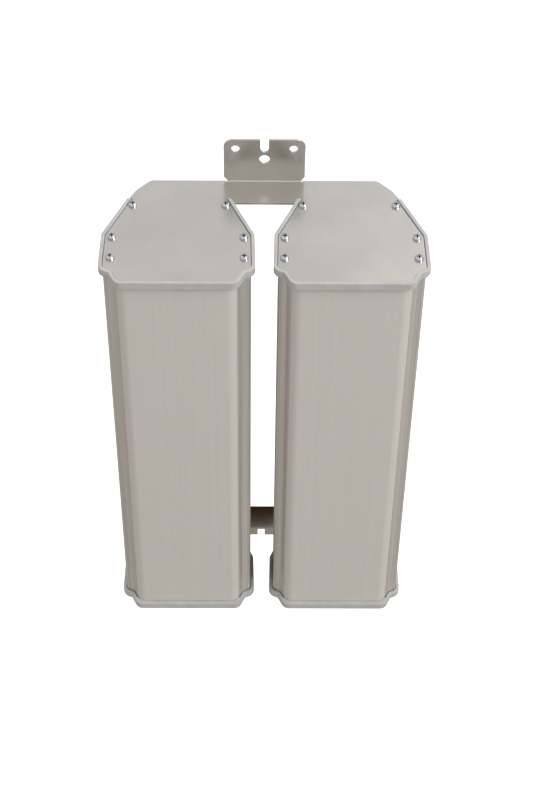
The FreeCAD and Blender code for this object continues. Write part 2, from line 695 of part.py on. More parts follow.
def board_spans():
    """The lower and upper ends of the two LED boards."""
    end = f"({HOUSING_END} - board_end_gap)"
    return {"upper": ("board_joint / 2", end), "lower": (f"-{end}", "-board_joint / 2")}


def board_hole_places():
    """The screws of both LED boards, as places across and levels."""
    for low, high in board_spans().values():
        for sign in ("-", ""):
            across = f"{sign}({BOARD_HALF} - board_hole_step)"
            yield across, f"{low} + board_hole_margin"
            yield across, f"{high} - board_hole_margin"


def web_screw_places():
    """The countersunk screws that hold the driver and the terminal block to the web."""
    for sign in ("-", ""):
        across = f"{sign}({DRIVER_HALF} - driver_hole_step)"
        yield across, f"{DRIVER_FOOT} + driver_hole_margin"
        yield across, f"{DRIVER_TOP} - driver_hole_margin"
    yield "0", BLOCK_MIDDLE


def web_holes():
    """Tapped, countersunk and lead holes through the web."""
    front = depth("web_depth - 1")
    back = depth("web_depth + web_thickness + 1")
    holes = [pin(f"board_tap_{index}", "screw_diameter / 2", across, level, front, back)
             for index, (across, level) in enumerate(board_hole_places(), start=1)]
    for index, (across, level) in enumerate(web_screw_places(), start=1):
        holes.append(pin(f"web_hole_{index}", "screw_diameter / 2 + screw_clearance", across, level,
                         front, back))
        sink = doc.addObject("Part::Cone", f"web_sink_{index}")
        sink.Placement.Rotation = Rotation(Vector(1, 0, 0), -90)
        holes.append(bind(sink, {"Radius1": "sink_diameter / 2 + sink_gap",
                                 "Radius2": "screw_diameter / 2 - thread_gap + sink_gap",
                                 "Height": "sink_height", "Placement.Base.x": across,
                                 "Placement.Base.y": depth("web_depth"), "Placement.Base.z": level}))
    holes.append(pin("lead_hole", "lead_hole_diameter / 2", "0", LEAD_HOLE_LEVEL, front, back))
    return holes


def diffuser_beads(envelope):
    """The thick front edges of the housing."""
    levels = (f"-{HOUSING_END}", HOUSING_END)
    beads = []
    for side, low, high in (("left", "-seal_width / 2", f"-({step('bead_step')})"),
                            ("right", step("bead_step"), "seal_width / 2")):
        reach = block(f"{side}_bead_reach", (low, high),
                      (depth("housing_front_depth"), depth("bead_depth")), levels)
        beads.append(common(f"{side}_bead", envelope, reach))
    return beads


def hook_groove():
    """The space that takes the diffuser's hooks, from one front edge of the housing to the other."""
    half = f"({step('hook_step')} + groove_gap)"
    return block("hook_groove", (f"-{half}", half),
                 (depth("hook_depth - groove_gap"), depth("hook_depth + hook_thickness + groove_gap")),
                 (f"-{HOUSING_END}", HOUSING_END))


def fins():
    """The rear fins, which follow the bracket plate's rear outline."""
    levels = (f"-{HOUSING_END}", HOUSING_END)
    rear_wall = f"rear_depth - {HOUSING_INSET}"
    limit = prism("fin_limit", offset("fin_outline", doc.getObject("plate_rear_outline"), "-fin_inset"),
                  *levels)
    blades = []
    roots = []
    for index in FIN_NUMBERS:
        middle = f"{index} * {FIN_PITCH}"
        across = (f"{middle} - fin_thickness / 2", f"{middle} + fin_thickness / 2")
        name = f"fin_{index - FIN_NUMBERS[0] + 1}"
        blades.append(block(name, across, (depth(rear_wall), "0"), levels))
        roots.append(block(name + "_root", across,
                           (depth(f"{rear_wall} - wall / 2"), depth(f"{rear_wall} + fin_root")), levels))
    return [common("fin_blades", fuse("fin_blocks", blades), limit)] + roots


def housing(profile):
    """The extruded housing: walls, web, diffuser beads, six screw ports and rear fins."""
    levels = (f"-{HOUSING_END}", HOUSING_END)
    envelope = prism("housing_envelope", offset("housing_outline", profile, f"-{HOUSING_INSET}"), *levels)
    cavity = prism("housing_cavity", offset("cavity_outline", profile, f"-({HOUSING_INSET} + wall)"),
                   *levels)
    mouth = block("housing_mouth", ("-seal_width", "seal_width"),
                  ("-case_depth", depth("housing_front_depth")), levels)
    web_block = block("web_block", ("-seal_width", "seal_width"),
                      (depth("web_depth"), depth("web_depth + web_thickness")), levels)
    ports = port_posts("port", PORT_RADIUS, *levels)
    bores = port_posts("port_bore", "screw_diameter / 2", *levels)
    scores = []
    for across, along in score_places():
        for sign in ("-", ""):
            scores.append(post(f"score_{len(scores) + 1}", "score_radius", f"{sign}({across})", along,
                               *levels))
    body = fuse("housing_body", [
        cut("housing_shell", envelope, [cavity, mouth]),
        common("web", envelope, web_block),
        common("ports", envelope, fuse("port_posts", ports))] + diffuser_beads(envelope) + fins())
    return cut("housing", body, bores + scores + [hook_groove()] + web_holes())


# ---------------------------------------------------------------- diffuser

def diffuser():
    """The opal cover: a shallow tray whose legs hook into the housing's grooves."""
    body = doc.addObject("PartDesign::Body", "diffuser")
    section = mirrored([
        (step("face_step"), depth("diffuser_depth"), "face_round"),
        (step("shoulder_foot_step"), depth("diffuser_depth + shoulder_fall"), "0"),
        (step("leg_step"), depth("diffuser_depth + shoulder_fall"), "0"),
        (step("leg_step"), depth("hook_depth"), "0"),
        (step("hook_step"), depth("hook_depth"), "0"),
        (step("hook_step"), depth("hook_depth + hook_thickness"), "0"),
        (step("leg_step + leg_wall"), depth("hook_depth + hook_thickness"), "0"),
        (step("leg_step + leg_wall"), depth("diffuser_depth + diffuser_wall"), "0"),
    ])
    pad(body, "diffuser_length", "XY_Plane", f"-{HOUSING_END}", f"2 * {HOUSING_END}", [section])
    return body


# ---------------------------------------------------------------- screws

def cross_recess(body, name, level):
    """Cut a cross recess into the top of a screw head."""
    arm = "recess_width / 2"
    tip = "recess_span / 2"
    cross = mirrored([(arm, f"-({tip})", "0"), (arm, f"-({arm})", "0"), (tip, f"-({arm})", "0"),
                      (tip, arm, "0"), (arm, arm, "0"), (arm, tip, "0")])
    pocket(body, name, "XY_Plane", level, "recess_depth", [cross])


def pan_screw(name, length):
    """A pan-head screw with the underside of its head on the ground plane."""
    shank = "screw_diameter / 2 - thread_gap"
    body = turned(name, [("0", f"-{length}", "0"), (shank, f"-{length}", "0"), (shank, "0", "0"),
                         ("head_diameter / 2", "0", "head_rim"),
                         ("head_diameter / 2", "head_height", "head_round"), ("0", "head_height", "0")])
    cross_recess(body, name + "_recess", "head_height")
    return body


def countersunk_screw(name):
    """A countersunk screw with the top of its head on the ground plane."""
    shank = "screw_diameter / 2 - thread_gap"
    body = turned(name, [("0", "-web_screw_length", "0"), (shank, "-web_screw_length", "0"),
                         (shank, "-sink_height", "0"), ("sink_diameter / 2", "0", "0"), ("0", "0", "0")])
    cross_recess(body, name + "_recess", "0")
    return body


def end_screws():
    """The six screws of the upper end of a module."""
    screw = pan_screw("end_screw", "end_screw_length")
    return [placed(f"end_screw_{index}", [screw], across, along, PLATE_TOP)
            for index, (across, along) in enumerate(port_places(), start=1)]


def front_facing(name, screw, across, along, level):
    """A screw turned so that its head faces the front."""
    thing = doc.addObject("Part::Compound", name)
    thing.Links = [screw]
    thing.Placement.Rotation = Rotation(Vector(1, 0, 0), 90)
    return bind(thing, {"Placement.Base.x": across, "Placement.Base.y": along, "Placement.Base.z": level})


def board_screws():
    """The screws of a module's two LED boards."""
    screw = pan_screw("board_screw", "board_screw_length")
    return [front_facing(f"board_screw_{index}", screw, across, depth(BOARD_FRONT), level)
            for index, (across, level) in enumerate(board_hole_places(), start=1)]


def web_screws():
    """The screws of a module's driver and terminal block."""
    screw = countersunk_screw("web_screw")
    return [front_facing(f"web_screw_{index}", screw, across, depth("web_depth"), level)
            for index, (across, level) in enumerate(web_screw_places(), start=1)]


# ---------------------------------------------------------------- light source

def led_board(end):
    """One LED board, with its screw holes and, at the top, a hole for the leads."""
    low, high = board_spans()[end]
    body = doc.addObject("PartDesign::Body", f"{end}_board")
    holes = [(across, f"{place} board_hole_margin", "screw_diameter / 2 + screw_clearance")
             for across in (f"-({BOARD_HALF} - board_hole_step)", f"{BOARD_HALF} - board_hole_step")
             for place in (f"{low} +", f"{high} -")]
    if end == "upper":
        holes.append(("0", LEAD_HOLE_LEVEL, "lead_hole_diameter / 2"))
    pad(body, f"{end}_board_sheet", "XZ_Plane", "case_depth - web_depth", "board_thickness",
        [rectangle(BOARD_HALF, low, high)], holes)
    return body


def leds():
    """Two rows of LED packages on each board."""
    packages = []
    per_board = LEDS_PER_ROW // 2
    for end, (low, high) in board_spans().items():
        for row in (f"-({BOARD_HALF} - led_row_margin)", f"{BOARD_HALF} - led_row_margin"):
            for index in range(per_board):
                middle = f"({low} + ({high} - ({low})) * {index + 0.5} / {per_board})"
                packages.append(block(f"led_{len(packages) + 1}",
                                      (f"{row} - led_width / 2", f"{row} + led_width / 2"),
                                      (depth(f"{BOARD_FRONT} - led_height"), depth(BOARD_FRONT)),
                                      (f"{middle} - led_width / 2", f"{middle} + led_width / 2")))
    return packages


def board_connector():
    """The plug-in connector on the upper LED board, under the hole for the leads."""
    top = f"({LEAD_HOLE_LEVEL} - led_lead_drop)"
    body = doc.addObject("PartDesign::Body", "connector")
    pad(body, "connector_block", "XZ_Plane", f"case_depth - {BOARD_FRONT}", "connector_thickness",
        [rectangle("connector_width / 2", f"{top} - connector_height", top)])
    return body


# ---------------------------------------------------------------- driver and wiring

def driver():
    """The potted driver, with a tapped hole in each corner of its front."""
    body = doc.addObject("PartDesign::Body", "driver")
    pad(body, "driver_case", "XY_Plane", DRIVER_FOOT, f"{DRIVER_TOP} - {DRIVER_FOOT}",
        [rectangle(DRIVER_HALF, depth(WEB_BACK), depth(f"{WEB_BACK} + driver_thickness"),
                   "driver_round")])
    places = [(across, level, "screw_diameter / 2") for across, level in web_screw_places()]
    pocket(body, "driver_taps", "XZ_Plane", f"case_depth - {WEB_BACK}", "blind_hole", (), places[:-1])
    return body


def terminal_block():
    """A three-pole terminal block behind the web."""
    body = doc.addObject("PartDesign::Body", "block")
    back = f"case_depth - {WEB_BACK} - block_thickness"
    middle = depth(f"{WEB_BACK} + block_thickness / 2")
    poles = [f"{index} * pole_pitch" for index in (-1, 0, 1)]
    pad(body, "block_body", "XZ_Plane", back, "block_thickness",
        [rectangle("block_width / 2", BLOCK_FOOT, BLOCK_TOP)])
    entries = [(pole, middle, "entry_diameter / 2") for pole in poles]
    pocket(body, "upper_entries", "XY_Plane", BLOCK_TOP, "entry_length", (), entries)
    pocket(body, "lower_entries", "XY_Plane", BLOCK_FOOT, "entry_length", (), entries, reverse=True)
    wells = [(pole, f"{BLOCK_MIDDLE} {sign} block_height / 4", "clamp_well / 2")
             for pole in poles for sign in ("-", "+")]
    pocket(body, "clamp_wells", "XZ_Plane", back, "clamp_well_depth", (), wells, reverse=True)
    pocket(body, "block_tap", "XZ_Plane", f"case_depth - {WEB_BACK}", "blind_hole", (),
           [("0", BLOCK_MIDDLE, "screw_diameter / 2")])
    return body


def supply_leads():
    """Three straight leads from the terminal block up to the driver."""
    middle = depth(f"{WEB_BACK} + block_thickness / 2")
    return [post(f"supply_lead_{index + 2}", "supply_lead_diameter / 2", f"{index} * pole_pitch", middle,
                 f"{BLOCK_TOP} - entry_length", DRIVER_FOOT) for index in (-1, 0, 1)]


def led_lead():
    """One lead: up from the driver, forward through the web, and down to the board's connector."""
    start = Vector(0, number(depth(DRIVER_MIDDLE)), number(DRIVER_TOP))
    rise = Vector(0, start.y, number(LEAD_HOLE_LEVEL))
    ahead = Vector(0, number(depth(f"{BOARD_FRONT} - connector_thickness / 2")), rise.z)
    end = Vector(0, ahead.y, number(f"{LEAD_HOLE_LEVEL} - led_lead_drop"))
    bend_behind = number("led_lead_bend")
    bend_before = number("led_lead_turn")
    up = Vector(0, 0, 1)
    forward = Vector(0, -1, 0)
    edges = [Part.LineSegment(start, rise - up * bend_behind)]
    edges.append(quarter_turn(rise, up, forward, bend_behind))
    edges.append(Part.LineSegment(rise + forward * bend_behind, ahead - forward * bend_before))
    edges.append(quarter_turn(ahead, forward, -up, bend_before))
    edges.append(Part.LineSegment(ahead - up * bend_before, end))
    path = Part.Wire([edge.toShape() for edge in edges])
    section = Part.Wire([Part.makeCircle(number("led_lead_diameter / 2"), start, up)])
    return path.makePipeShell([section], True, True)


def quarter_turn(corner, into, out, radius):
    """The arc that rounds a right-angled corner between two directions."""
    centre = corner - into * radius + out * radius
    middle = centre + (into - out).normalize() * radius
    return Part.Arc(corner - into * radius, middle, corner + out * radius)


def led_leads():
    """The pair of leads from the driver to the LED board."""
    pair = doc.addObject("Part::Feature", "led_lead_pair")
    lead = led_lead()
    half = number("led_lead_spacing / 2")
    pair.Shape = Part.makeCompound([lead.translated(Vector(side * half, 0, 0)) for side in (-1, 1)])
    return pair


# ---------------------------------------------------------------- cable gland

def hex_body(name, across_flats, low, height):
    """A body that starts as a hexagon."""
    body = doc.addObject("PartDesign::Body", name)
    pad(body, name + "_hex", "XY_Plane", low, height, [hexagon(across_flats)])
    return body


def gland_body():
    """The gland's body: hexagon, thread through the bracket plate, and hollow neck for the bush."""
    body = hex_body("gland_case", "gland_hex", "washer_thickness", "gland_flange")
    neck_end = "washer_thickness + gland_flange + neck_height"
    stub = "plate_thickness + washer_thickness + nut_height + stub_end"
    pad(body, "gland_stub", "XY_Plane", f"washer_thickness - ({stub})", stub, (),
        [("0", "0", "gland_thread / 2")])
    pad(body, "gland_neck", "XY_Plane", "washer_thickness + gland_flange", "neck_height", (),
        [("0", "0", NECK_RADIUS)])
    pocket(body, "gland_bore", "XY_Plane", neck_end, f"{neck_end} + ({stub})", (),
           [("0", "0", "cable_diameter / 2 + bore_gap")])
    pocket(body, "bush_seat", "XY_Plane", neck_end, "bush_length", (),
           [("0", "0", f"{BUSH_RADIUS} + gland_gap")])
    return body


def gland_bush():
    """The rubber bush that grips the cable."""
    low = "washer_thickness + gland_flange + neck_height - bush_length"
    body = doc.addObject("PartDesign::Body", "gland_rubber")
    pad(body, "bush_ring", "XY_Plane", low, "bush_length", (),
        [("0", "0", BUSH_RADIUS), ("0", "0", "cable_diameter / 2")])
    return body


def gland_cap():
    """The cap nut that squeezes the bush."""
    low = "(washer_thickness + gland_flange + cap_gap)"
    neck_end = "washer_thickness + gland_flange + neck_height"
    hexed = hex_body("cap_hexagon", "cap_hex", low, "cap_height")
    rounded = turned("cap_round_form", [("0", low, "0"), ("cap_hex / 2 / cos(30)", low, "1"),
                                        ("cap_hex / 2 / cos(30)", f"{low} + cap_height", "cap_round"),
                                        ("0", f"{low} + cap_height", "0")])
    shape = common("cap_shape", hexed, rounded)
    thread = post("cap_thread", f"{NECK_RADIUS} + gland_gap", "0", "0", f"{low} - 1", neck_end)
    mouth = post("cap_mouth", "cable_diameter / 2 + mouth_gap", "0", "0", low, f"{low} + cap_height + 1")
    return cut("gland_nut", shape, [thread, mouth])


def lock_nut():
    """The nut on the inner side of the bracket plate."""
    body = hex_body("inner_nut", "gland_hex", "-(plate_thickness + nut_height)", "nut_height")
    pocket(body, "nut_thread", "XY_Plane", "-plate_thickness", "nut_height", (),
           [("0", "0", "gland_thread / 2 + gland_gap")])
    return body


def gland_washer():
    """The flat seal under the gland's hexagon."""
    body = doc.addObject("PartDesign::Body", "gland_seal")
    pad(body, "seal_ring", "XY_Plane", "0", "washer_thickness", (),
        [("0", "0", "washer_diameter / 2"), ("0", "0", "gland_thread / 2 + gland_gap")])
    return body


# ---------------------------------------------------------------- the whole luminaire

def build():
    """Make every sub-part, and return them by name."""
    profile = seal_outline()
    seal = end_seal(profile)
    upper = bracket(profile)
    parts = {"upper_bracket": upper, "lower_bracket": lower_bracket(upper)}
    screws = end_screws()
    inner = {
        "housing": [housing(profile)],
        "diffuser": [diffuser()],
        "upper_led_board": [led_board("upper")],
        "lower_led_board": [led_board("lower")],
        "leds": leds(),
        "board_screws": board_screws(),
        "board_connector": [board_connector()],
        "driver": [driver()],
        "terminal_block": [terminal_block()],
        "web_screws": web_screws(),
        "supply_leads": supply_leads(),
        "led_leads": [led_leads()],
    }
    gland = {
        "gland_body": [gland_body()],
        "gland_bush": [gland_bush()],
        "gland_cap_nut": [gland_cap()],
        "gland_lock_nut": [lock_nut()],
        "gland_washer": [gland_washer()],
    }
    for side, sign in SIDES.items():
        middle = f"{sign} * {MODULE_X}"
        for name, pieces in inner.items():
            parts[f"{side}_{name}"] = placed(f"{side}_{name}", pieces, middle)
        for name, pieces in gland.items():
            parts[f"{side}_{name}"] = placed(f"{side}_{name}", pieces, middle, depth("gland_depth"),
                                             f"-{PLATE_TOP}", flipped=True)
        for end, flipped in (("upper", False), ("lower", True)):
            parts[f"{side}_{end}_end_seal"] = placed(f"{side}_{end}_end_seal", [seal], middle,
                                                     flipped=flipped)
            parts[f"{side}_{end}_end_screws"] = placed(f"{side}_{end}_end_screws", screws, middle,
                                                       flipped=flipped)
    for name, part in parts.items():
        part.Label = name
    return parts


def check(parts):
    """Stop on any object that failed, and on any sub-part without a sound shape."""
    for thing in doc.Objects:
        if "Invalid" in thing.State or "Error" in thing.State:
            raise RuntimeError(f"{thing.Name} failed: {thing.State}")
    for name, part in parts.items():
        if part.Shape.isNull() or not part.Shape.isValid() or not part.Shape.Solids:
            raise RuntimeError(f"{name} has no sound solid")


def main():
    """Build the luminaire and write each sub-part to its own STEP file."""
    fill_sheet()
    parts = build()
    doc.recompute()
    check(parts)
    os.makedirs("parts", exist_ok=True)
    for name, part in parts.items():
        part.Shape.exportStep(f"parts/{name}.step")
        print(f"{name}: {len(part.Shape.Solids)} solids, {part.Shape.Volume:.0f} mm3")


main()
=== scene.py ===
"""Looks of the twin-module LED road luminaire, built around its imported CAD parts.

Metres, +Z up, +X to the right as seen from the front, and the front faces -Y.
"""
import json
import math

import bmesh
import bpy
from bpy.props import FloatProperty, FloatVectorProperty, PointerProperty
from mathutils import Matrix, Vector


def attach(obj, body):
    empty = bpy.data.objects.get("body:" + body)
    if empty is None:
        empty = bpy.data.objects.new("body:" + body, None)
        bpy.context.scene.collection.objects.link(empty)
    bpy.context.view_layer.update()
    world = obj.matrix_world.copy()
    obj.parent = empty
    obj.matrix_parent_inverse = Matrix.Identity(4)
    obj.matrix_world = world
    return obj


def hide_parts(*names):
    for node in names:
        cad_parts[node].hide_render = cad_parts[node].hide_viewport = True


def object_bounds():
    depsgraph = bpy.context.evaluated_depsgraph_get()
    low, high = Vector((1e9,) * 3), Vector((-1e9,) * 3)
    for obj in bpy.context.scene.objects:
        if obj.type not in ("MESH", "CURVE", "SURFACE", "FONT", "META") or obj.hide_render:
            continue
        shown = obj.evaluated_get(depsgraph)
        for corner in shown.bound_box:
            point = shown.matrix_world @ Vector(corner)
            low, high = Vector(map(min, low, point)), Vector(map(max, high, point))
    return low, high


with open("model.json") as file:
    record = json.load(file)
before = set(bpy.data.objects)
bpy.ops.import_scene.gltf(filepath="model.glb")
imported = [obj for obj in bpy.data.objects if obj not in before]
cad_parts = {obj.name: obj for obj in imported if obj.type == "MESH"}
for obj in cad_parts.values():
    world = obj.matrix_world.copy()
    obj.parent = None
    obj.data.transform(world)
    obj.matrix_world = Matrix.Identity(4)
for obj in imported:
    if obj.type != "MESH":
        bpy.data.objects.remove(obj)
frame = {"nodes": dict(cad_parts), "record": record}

bl_info = {
    "name": "Twin-module LED road luminaire",
    "version": (1, 0, 0),
    "blender": (4, 5, 0),
    "location": "3D View > Sidebar > Luminaire",
    "description": "Builds the luminaire's finished pieces around its CAD frame",
    "category": "Object",
}

BODY = "root"
SIDES = ("left", "right")
ENDS = ("upper", "lower")
GLAND_PARTS = ("body", "cap_nut", "lock_nut", "bush", "washer")
SLOT_OF = {part["node"]: part["material_slot"] for part in frame["record"]["subparts"]}
CAD_BOX = [list(corner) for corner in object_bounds()]
GROUND = CAD_BOX[0][2]
SAME_PLACE = 0.000002
FLAT_ANGLE = math.radians(0.5)
RECESS_CORNERS = 12
RECESS_REACH = 0.55
RECESS_LEVEL = 0.00002
FLOOR_SIZE = 12.0
LIGHTS = (
    ("key_light", (1.8, -1.1, 1.7), (0.0, -0.05, 0.15), 1.1, 32.0),
    ("top_light", (1.0, 1.6, 1.8), (0.0, 0.0, 0.1), 1.0, 5.0),
)
CARDS = (
    ("bridge_card", 0.032, 0.046, (0.0, 0.003, -0.155), "X"),
    ("left_card", 0.040, 0.056, (-0.0035, -0.050, -0.156), "Y"),
    ("right_card", 0.040, 0.056, (0.0035, -0.050, -0.156), "Y"),
)


# ---------------------------------------------------------------- sizes and colours

def length(name, meaning, default):
    """A length that a user may change."""
    return FloatProperty(name=name, description=meaning, default=default, min=0.0, unit="LENGTH",
                         precision=5)


def colour(name, meaning, default):
    """A colour that a user may change."""
    return FloatVectorProperty(name=name, description=meaning, default=default, size=3, min=0.0, max=1.0,
                               subtype="COLOR")


class LuminaireSizes(bpy.types.PropertyGroup):
    """Edge roundings and fine details that the CAD parts leave to the finished pieces."""

    sheet_edge: length("Sheet edge", "Rounding of the bracket sheet's edges", 0.00018)
    housing_edge: length("Housing edge", "Rounding of the extrusion's long edges", 0.00022)
    diffuser_edge: length("Diffuser edge", "Rounding of the opal cover's long edges", 0.0003)
    seal_edge: length("Seal edge", "Rounding of the end seal's edges", 0.0004)
    screw_edge: length("Screw edge", "Rounding of a screw head's edges", 0.0001)
    recess_depth: length("Recess depth", "Depth of a cross recess", 0.0015)
    recess_span: length("Recess span", "Cross recess from tip to tip", 0.0033)
    recess_taper: FloatProperty(name="Recess taper", description="Floor of a cross recess against its mouth",
                                default=0.35, min=0.1, max=1.0, subtype="FACTOR")
    gland_edge: length("Gland edge", "Rounding of the cable gland's edges", 0.0004)
    led_rim: length("LED rim", "Wall of an LED package around its phosphor", 0.0003)
    led_well: length("LED well", "Depth of the phosphor below an LED package's rim", 0.0001)


class LuminaireColours(bpy.types.PropertyGroup):
    """Base colours of the finishes."""

    sheet: colour("Sheet", "Satin aluminium of the brackets", (0.62, 0.595, 0.56))
    housing: colour("Housing", "Satin anodised extrusion", (0.655, 0.632, 0.597))
    diffuser: colour("Diffuser", "Opal polycarbonate", (0.61, 0.582, 0.55))
    seal: colour("Seal", "Moulded light grey rubber", (0.49, 0.485, 0.475))
    screw: colour("Screw", "Bright zinc plate", (0.60, 0.635, 0.67))
    # painted shade: dark zinc that stands in for the shade inside the screws' cross recesses
    recess: colour("Recess", "Zinc in the shade of a cross recess", (0.07, 0.08, 0.09))
    board: colour("Board", "White solder mask", (0.86, 0.86, 0.83))
    phosphor: colour("Phosphor", "Yellow phosphor of the LEDs", (0.86, 0.72, 0.20))
    package: colour("Package", "White package of the LEDs", (0.88, 0.87, 0.84))
    connector: colour("Connector", "Natural nylon", (0.84, 0.82, 0.77))
    driver: colour("Driver", "Black driver case", (0.022, 0.024, 0.027))
    terminal: colour("Terminal block", "Light grey polyamide", (0.60, 0.61, 0.60))
    lead: colour("Leads", "Red lead insulation", (0.48, 0.03, 0.025))
    gland: colour("Gland", "Grey polyamide of the cable gland", (0.17, 0.175, 0.18))
    rubber: colour("Rubber", "Black rubber of the gland's bush and flat seal", (0.018, 0.018, 0.018))
    floor: colour("Floor", "Plain pale floor", (0.92, 0.92, 0.915))


class LuminaireCamera(bpy.types.PropertyGroup):
    """The camera's place and aim, and the light on the stage."""

    place: FloatVectorProperty(name="Place", description="Where the camera stands",
                               default=(-0.007257, -0.94152, 0.997109), size=3, subtype="TRANSLATION",
                               unit="LENGTH")
    tilt: FloatProperty(name="Tilt", description="How far the camera looks down",
                        default=math.radians(47.9185), subtype="ANGLE")
    turn: FloatProperty(name="Turn", description="How far the camera is turned to the left",
                        default=math.radians(-0.6325), subtype="ANGLE")
    roll: FloatProperty(name="Roll", description="How far the camera leans",
                        default=math.radians(0.6643), subtype="ANGLE")
    lens: FloatProperty(name="Lens", description="Focal length in millimetres over a 36 mm high sensor",
                        default=84.535, min=10.0)
    floor_drop: length("Floor drop", "Floor below the luminaire's lowest edge", 0.25)
    sky: colour("Sky", "Light from straight above", (0.89, 0.89, 0.895))
    horizon: colour("Horizon", "Light from level all round", (0.64, 0.63, 0.62))
    ground: colour("Ground", "Light from straight below", (0.32, 0.275, 0.22))
    card: colour("Card", "Dark cards by the lower bridge", (0.19, 0.085, 0.004))


def sizes():
    """The scene's sizes."""
    return bpy.context.scene.luminaire_sizes


def colours():
    """The scene's colours."""
    return bpy.context.scene.luminaire_colours


# ---------------------------------------------------------------- materials

class Finish:
    """A material whose nodes are added one after another around a Principled shader."""

    def __init__(self, name, base, **sockets):
        self.material = bpy.data.materials.new(name)
        self.material.use_nodes = True
        self.tree = self.material.node_tree
        self.shader = self.tree.nodes["Principled BSDF"]
        self.place = self.add("ShaderNodeTexCoord")
        self.set("Base Color", (*base, 1.0))
        self.material.diffuse_color = (*base, 1.0)
        for socket, value in sockets.items():
            self.set(socket.replace("_", " "), value)

    def add(self, kind, **settings):
        """Add a node."""
        node = self.tree.nodes.new(kind)
        for setting, value in settings.items():
            setattr(node, setting, value)
        return node

    def set(self, socket, value):
        """Set one of the shader's sockets."""
        self.shader.inputs[socket].default_value = value

    def link(self, source, target):
        """Join two sockets."""
        self.tree.links.new(source, target)

    def grain(self, density, detail=2.0, stretch=(1.0, 1.0, 1.0)):
        """Noise with a number of spots per metre, drawn out along an axis where stretch is small."""
        mapping = self.add("ShaderNodeMapping")
        mapping.inputs["Scale"].default_value = Vector(stretch) * density
        noise = self.add("ShaderNodeTexNoise")
        noise.inputs["Scale"].default_value = 1.0
        noise.inputs["Detail"].default_value = detail
        self.link(self.place.outputs["Object"], mapping.inputs["Vector"])
        self.link(mapping.outputs["Vector"], noise.inputs["Vector"])
        return noise.outputs["Fac"]

    def vary_colour(self, grain, low, high):
        """Let the base colour run between two colours over the middle of a grain."""
        ramp = self.add("ShaderNodeValToRGB")
        first, last = ramp.color_ramp.elements
        first.position, first.color = 0.35, (*low, 1.0)
        last.position, last.color = 0.65, (*high, 1.0)
        self.link(grain, ramp.inputs["Fac"])
        self.link(ramp.outputs["Color"], self.shader.inputs["Base Color"])

    def vary_roughness(self, grain, low, high):
        """Let the roughness run between two values over the middle of a grain."""
        spread = self.add("ShaderNodeMapRange")
        for socket, value in (("From Min", 0.3), ("From Max", 0.7), ("To Min", low), ("To Max", high)):
            spread.inputs[socket].default_value = value
        self.link(grain, spread.inputs["Value"])
        self.link(spread.outputs["Result"], self.shader.inputs["Roughness"])

    def relief(self, *layers):
        """Raise the surface by layers of (grain, height)."""
        normal = None
        for grain, height in layers:
            bump = self.add("ShaderNodeBump")
            bump.inputs["Strength"].default_value = 1.0
            bump.inputs["Distance"].default_value = height
            self.link(grain, bump.inputs["Height"])
            if normal is not None:
                self.link(normal, bump.inputs["Normal"])
            normal = bump.outputs["Normal"]
        self.link(normal, self.shader.inputs["Normal"])


def shade(base, factor):
    """A colour made lighter or darker."""
    return tuple(min(1.0, part * factor) for part in base)


def satin_sheet():
    """Aluminium sheet with a fine brushed grain from front to back."""
    base = colours().sheet
    finish = Finish("satin_sheet", base, Metallic=1.0, Roughness=0.24)
    brushed = finish.grain(2200.0, 3.0, (1.0, 0.02, 0.02))
    clouds = finish.grain(28.0, 4.0)
    finish.vary_colour(clouds, shade(base, 0.96), shade(base, 1.03))
    finish.vary_roughness(brushed, 0.225, 0.265)
    finish.relief((brushed, 0.0000003), (finish.grain(160.0), 0.0000035))
    return finish.material


def anodised_extrusion():
    """Satin anodised extrusion with die lines along its length."""
    base = colours().housing
    finish = Finish("anodised_extrusion", base, Metallic=0.6, Roughness=0.4)
    lines = finish.grain(1100.0, 4.0, (1.0, 1.0, 0.004))
    finish.vary_colour(lines, shade(base, 0.87), shade(base, 1.07))
    finish.vary_roughness(finish.grain(1800.0, 3.0, (1.0, 1.0, 0.004)), 0.34, 0.46)
    finish.relief((lines, 0.000012), (finish.grain(9000.0), 0.000002))
    return finish.material


def opal_cover():
    """Extruded opal polycarbonate with a satin face and faint drawn lines."""
    base = colours().diffuser
    finish = Finish("opal_cover", base, Roughness=0.42, IOR=1.58, Subsurface_Weight=0.15,
                    Subsurface_Scale=0.002)
    finish.vary_colour(finish.grain(420.0, 4.0, (1.0, 1.0, 0.01)), shade(base, 0.988), shade(base, 1.012))
    finish.vary_roughness(finish.grain(900.0, 2.0, (1.0, 1.0, 0.02)), 0.36, 0.46)
    finish.relief((finish.grain(700.0, 1.0, (1.0, 1.0, 0.01)), 0.000004), (finish.grain(5200.0), 0.000004))
    return finish.material


def moulded(name, base, roughness, grain_height=0.00001, density=4200.0):
    """Moulded plastic or rubber with a fine eroded grain."""
    finish = Finish(name, base, Roughness=roughness, IOR=1.5)
    finish.vary_colour(finish.grain(90.0, 5.0), shade(base, 0.93), shade(base, 1.05))
    finish.vary_roughness(finish.grain(600.0, 3.0), roughness - 0.06, roughness + 0.08)
    finish.relief((finish.grain(density, 3.0), grain_height), (finish.grain(260.0), 0.00002))
    return finish.material


def zinc_plate(name, base):
    """Bright zinc plate with fine turning marks and a bluish cast; given a dark base, it is the painted
    shade inside a cross recess.
    """
    finish = Finish(name, base, Metallic=1.0, Roughness=0.13)
    finish.vary_colour(finish.grain(800.0, 2.0), shade(base, 0.9), shade(base, 1.05))
    finish.vary_roughness(finish.grain(2400.0, 3.0), 0.09, 0.17)
    finish.relief((finish.grain(3600.0, 2.0), 0.000005))
    return finish.material


